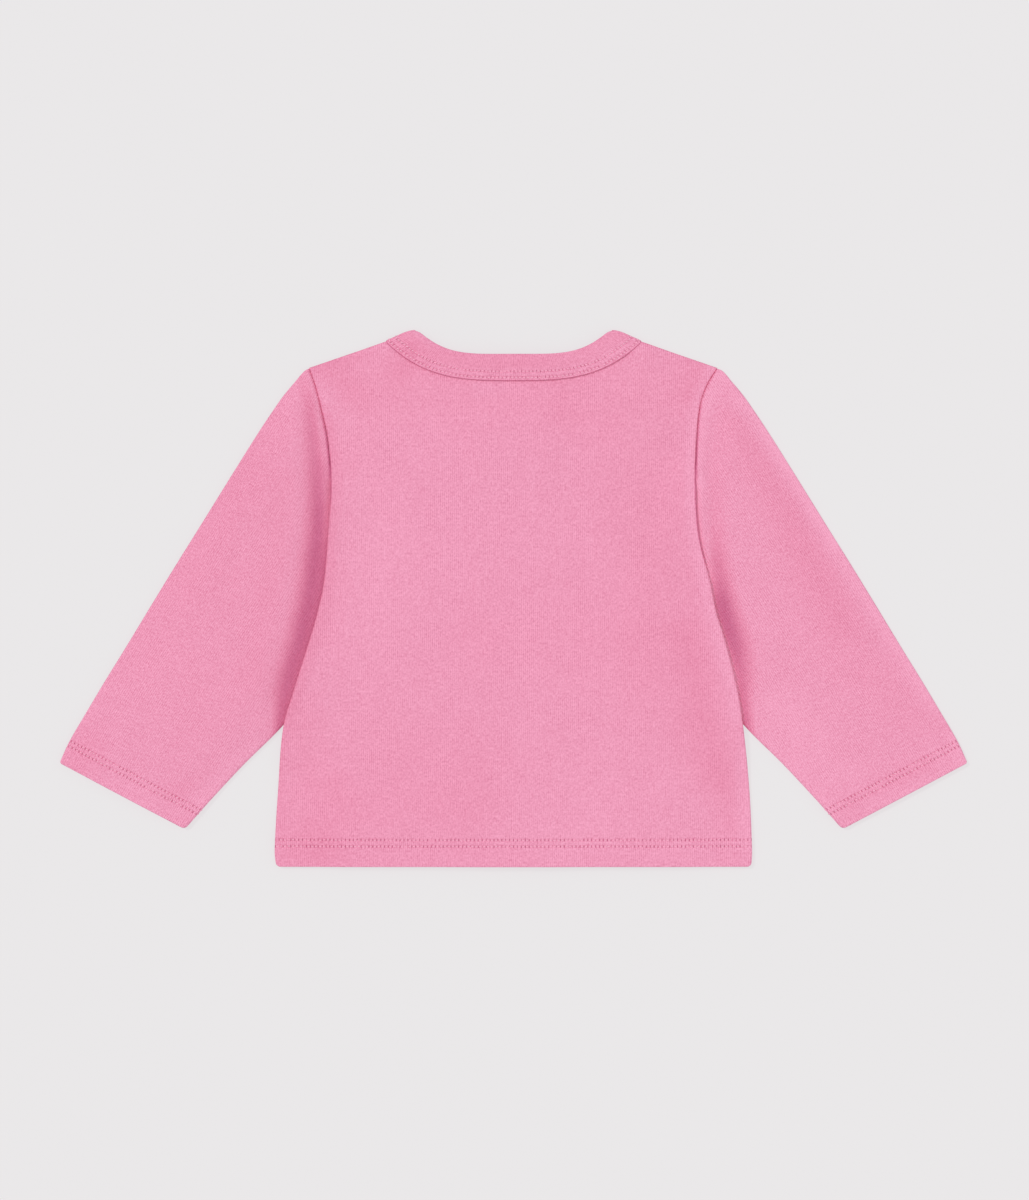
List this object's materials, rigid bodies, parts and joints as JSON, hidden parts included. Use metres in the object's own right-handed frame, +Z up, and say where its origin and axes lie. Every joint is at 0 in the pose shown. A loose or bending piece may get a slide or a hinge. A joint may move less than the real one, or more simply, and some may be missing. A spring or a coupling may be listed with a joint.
{
  "type": "baby cardigan",
  "caption": "Baby's long-sleeved cotton-knit cardigan with a round neckband and a press-stud front, laid flat face down with its back uppermost.",
  "frame": {"origin": "middle of the laid-out cardigan's outline, on the surface that it lies on", "axes": "+X towards the wearer's right sleeve, +Y from the hem to the neck, +Z up, out of the back of the garment"},
  "size_m": [0.48, 0.2847, 0.0069],
  "materials": {
    "knit": "fine cotton knit, matt, slightly heathered",
    "band": "the same knit, turned across, in a folded strip",
    "stud": "smooth moulded cap"
  },
  "bodies": {
    "root": {"back_panel": "knit", "front_panel_left": "knit", "front_panel_right": "knit", "sleeve_left": "knit", "sleeve_right": "knit", "neckband": "band", "stud_1": "stud", "stud_2": "stud", "stud_3": "stud", "stud_4": "stud", "stud_5": "stud"}
  },
  "joints": []
}
